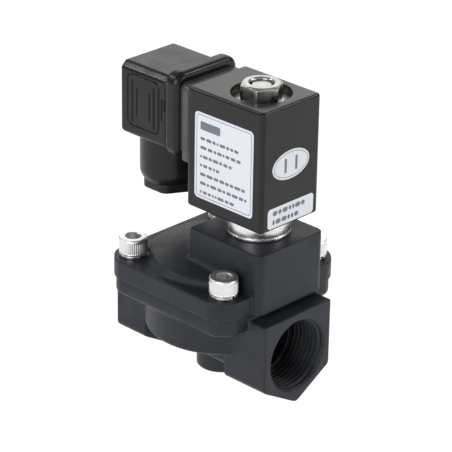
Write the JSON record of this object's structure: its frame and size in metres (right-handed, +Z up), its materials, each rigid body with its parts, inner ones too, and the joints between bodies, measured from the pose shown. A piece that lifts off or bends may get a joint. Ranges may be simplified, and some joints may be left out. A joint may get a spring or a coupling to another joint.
{
  "type": "solenoid valve",
  "caption": "Two-way pilot solenoid valve: plastic body with female pipe threads, screwed bonnet, turning coil block with a square plug connector and cable gland.",
  "frame": {"origin": "centre of the inlet port's mouth", "axes": "+X runs through the valve in the direction of flow, +Z points up from the pipe's axis to the coil, +Y completes the right-handed frame"},
  "size_m": [0.0743, 0.0592, 0.1133],
  "materials": {
    "valve_plastic": "glass-filled moulded plastic with a fine grain",
    "coil_plastic": "satin encapsulation resin",
    "plug_plastic": "satin moulded plastic",
    "steel": "zinc-plated steel",
    "stainless": "turned stainless steel",
    "yoke_zinc": "yellowish zinc on pressed steel",
    "brass": "turned brass",
    "copper": "enamelled copper wire, or solid copper",
    "rubber": "black rubber",
    "inner_plastic": "moulded inner plastic",
    "bobbin_plastic": "natural-coloured plastic",
    "label_white": "blank white film label"
  },
  "bodies": {
    "valve": {"valve_body": "valve_plastic", "screw_inserts": "brass", "bonnet": "valve_plastic", "cover_screws": "steel", "screw_washers": "steel", "pilot_seat": "brass", "tube_seal": "rubber", "tube_collar": "stainless", "core_tube": "stainless", "fixed_core": "stainless", "shading_ring": "copper", "coil_washer": "steel", "coil_nut": "steel"},
    "diaphragm_unit": {"diaphragm": "rubber", "diaphragm_plate": "stainless", "diaphragm_washer": "stainless", "diaphragm_bolt": "stainless", "diaphragm_nut": "stainless", "main_spring": "stainless"},
    "plunger_unit": {"plunger": "stainless", "plunger_seal": "rubber", "plunger_spring": "stainless"},
    "coil_unit": {"coil_housing": "coil_plastic", "coil_bobbin": "bobbin_plastic", "coil_winding": "copper", "yoke": "yoke_zinc", "terminal_base": "coil_plastic", "terminal_blades": "steel", "type_label": "label_white", "oval_label": "label_white", "lower_label": "label_white", "plug_gasket": "rubber", "plug_housing": "plug_plastic", "terminal_carrier": "inner_plastic", "plug_screw": "steel", "screw_seal": "rubber", "gland_seal": "rubber", "gland_washer": "steel", "gland_nut": "plug_plastic"}
  },
  "joints": [
    {"name": "diaphragm_lift", "type": "slide", "parent": "valve", "child": "diaphragm_unit", "axis": [0, 0, 1], "range_m": [0, 0.0045], "stiffness_N_per_m": 300, "springref_m": -0.004, "deforming": ["diaphragm", "main_spring"]},
    {"name": "plunger_slide", "type": "slide", "parent": "valve", "child": "plunger_unit", "axis": [0, 0, 1], "range_m": [0, 0.0015], "stiffness_N_per_m": 150, "springref_m": -0.004, "deforming": ["plunger_spring"]},
    {"name": "coil_swivel", "type": "hinge", "parent": "valve", "child": "coil_unit", "pos_m": [0.0532, 0, 0.048], "axis": [0, 0, 1], "continuous": true}
  ]
}
